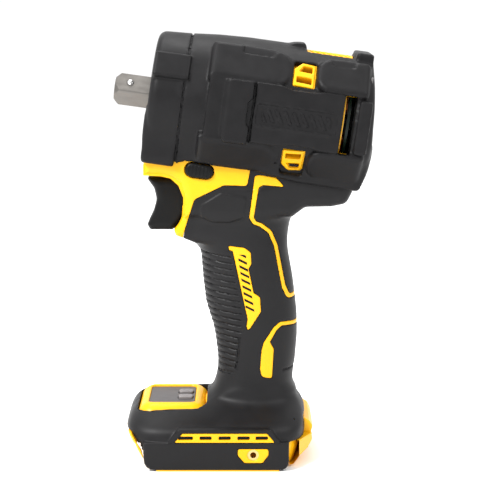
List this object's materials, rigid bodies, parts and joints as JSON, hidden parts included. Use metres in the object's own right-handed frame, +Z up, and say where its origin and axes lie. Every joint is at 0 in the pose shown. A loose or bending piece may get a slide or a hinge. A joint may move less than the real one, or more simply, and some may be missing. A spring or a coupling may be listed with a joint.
{
  "type": "impact wrench",
  "caption": "Compact cordless impact wrench without its battery: boxy rubber-booted head with a square drive, pistol grip with trigger, and a wide battery foot.",
  "frame": {"origin": "on the surface that the foot stands on, at the middle of the whole tool's length and width", "axes": "+Z up along the height, -X towards the nose and square drive, Y across the tool; the spindle axis is tipped 8 degrees nose up"},
  "size_m": [0.1082, 0.066, 0.1757],
  "materials": {
    "yellow_housing": "moulded, satin",
    "grip_rubber": "fine matt texture",
    "boot_rubber": "matt",
    "black_plastic": "fine matt texture",
    "panel_grey": "satin film",
    "key_grey": "satin",
    "circuit_board": "solder mask",
    "potting_grey": "cast resin",
    "wire_red": "insulation",
    "insulator_cream": "moulded",
    "copper": "enamelled wire",
    "brass": "plain",
    "bronze": "sintered",
    "seal_rubber": "smooth",
    "clear_lens": "clear",
    "cast_aluminium": "die cast",
    "drive_steel": "ground, lightly oxidised",
    "dark_steel": "phosphated",
    "bright_steel": "ground",
    "lamination_steel": "stacked laminations",
    "magnet_nickel": "nickel plated",
    "screw_steel": "black oxide"
  },
  "bodies": {
    "tool": {"housing_left": "yellow_housing", "housing_right": "yellow_housing", "grip_skin_left": "grip_rubber", "grip_skin_right": "grip_rubber", "protective_boot": "boot_rubber", "rear_cap": "black_plastic", "foot_bumper": "yellow_housing", "belt_hook_inserts": "brass", "mode_bezel": "yellow_housing", "mode_panel": "panel_grey", "mode_board": "circuit_board", "housing_screws": "screw_steel", "rear_cap_screws": "screw_steel", "hammer_case_screws": "screw_steel", "hammer_case": "cast_aluminium", "nose_ring": "black_plastic", "lamp_board": "circuit_board", "lamp_lenses": "clear_lens", "anvil_bushing": "bronze", "nose_seal": "seal_rubber", "thrust_washer": "bright_steel", "carrier_bearing": "bright_steel", "ring_gear": "bright_steel", "gear_plate": "black_plastic", "front_rotor_bearing": "bright_steel", "rear_rotor_bearing": "bright_steel", "stator_core": "lamination_steel", "stator_insulators": "insulator_cream", "stator_windings": "copper", "sensor_board": "circuit_board", "switch_body": "black_plastic", "trigger_spring": "bright_steel", "control_module": "potting_grey", "wiring": "wire_red", "terminal_block": "black_plastic", "terminal_blades": "brass"},
    "trigger": {"trigger": "black_plastic"},
    "direction_button": {"direction_button": "black_plastic"},
    "mode_key": {"mode_key": "key_grey"},
    "lamp_key": {"lamp_key": "key_grey"},
    "carrier": {"cam_carrier": "dark_steel", "planet_pins": "bright_steel", "cam_balls": "bright_steel", "hammer_spring": "bright_steel"},
    "hammer": {"hammer": "dark_steel"},
    "planet_1": {"planet_gear_1": "bright_steel"},
    "planet_2": {"planet_gear_2": "bright_steel"},
    "planet_3": {"planet_gear_3": "bright_steel"},
    "anvil": {"anvil": "drive_steel", "detent_spring": "bright_steel"},
    "detent_pin": {"detent_pin": "bright_steel"},
    "rotor": {"rotor_shaft": "bright_steel", "rotor_stack": "lamination_steel", "rotor_magnets": "magnet_nickel", "fan": "black_plastic"}
  },
  "joints": [
    {"name": "trigger_pull", "type": "slide", "parent": "tool", "child": "trigger", "axis": [1, 0, 0], "range_m": [0, 0.0055], "stiffness_N_per_m": 700, "springref_m": -0.004, "deforming": ["trigger_spring"]},
    {"name": "direction_slide", "type": "slide", "parent": "tool", "child": "direction_button", "axis": [0, 1, 0], "range_m": [-0.0025, 0.0025]},
    {"name": "mode_press", "type": "slide", "parent": "tool", "child": "mode_key", "axis": [0, 0, -1], "range_m": [0, 0.0005], "stiffness_N_per_m": 1500, "springref_m": -0.0005},
    {"name": "lamp_press", "type": "slide", "parent": "tool", "child": "lamp_key", "axis": [0, 0, -1], "range_m": [0, 0.0005], "stiffness_N_per_m": 1500, "springref_m": -0.0005},
    {"name": "carrier_spin", "type": "hinge", "parent": "tool", "child": "carrier", "pos_m": [0, 0, 0.1456], "axis": [-0.9903, 0, 0.1392], "continuous": true},
    {"name": "hammer_retract", "type": "slide", "parent": "carrier", "child": "hammer", "axis": [0.9903, 0, -0.1392], "range_m": [0, 0.004], "stiffness_N_per_m": 4000, "springref_m": -0.003, "deforming": ["hammer_spring"]},
    {"name": "planet_1_spin", "type": "hinge", "parent": "carrier", "child": "planet_1", "pos_m": [0.00725, 0, 0.13398], "axis": [-0.9903, 0, 0.1392], "continuous": true},
    {"name": "planet_2_spin", "type": "hinge", "parent": "carrier", "child": "planet_2", "pos_m": [0.00945, 0.00909, 0.14957], "axis": [-0.9903, 0, 0.1392], "continuous": true},
    {"name": "planet_3_spin", "type": "hinge", "parent": "carrier", "child": "planet_3", "pos_m": [0.00945, -0.00909, 0.14957], "axis": [-0.9903, 0, 0.1392], "continuous": true},
    {"name": "anvil_spin", "type": "hinge", "parent": "tool", "child": "anvil", "pos_m": [0, 0, 0.1456], "axis": [-0.9903, 0, 0.1392], "continuous": true},
    {"name": "rotor_spin", "type": "hinge", "parent": "tool", "child": "rotor", "pos_m": [0, 0, 0.1456], "axis": [-0.9903, 0, 0.1392], "continuous": true},
    {"name": "detent_press", "type": "slide", "parent": "anvil", "child": "detent_pin", "axis": [0.0984, -0.7071, 0.7002], "range_m": [-0.0011, 0], "stiffness_N_per_m": 600, "springref_m": 0.0015, "deforming": ["detent_spring"]}
  ],
  "couplings": [
    {"joint": "anvil_spin", "follows": "carrier_spin", "ratio": 1},
    {"joint": "rotor_spin", "follows": "carrier_spin", "ratio": 5},
    {"joint": "planet_1_spin", "follows": "carrier_spin", "ratio": -2.6667},
    {"joint": "planet_2_spin", "follows": "carrier_spin", "ratio": -2.6667},
    {"joint": "planet_3_spin", "follows": "carrier_spin", "ratio": -2.6667}
  ]
}
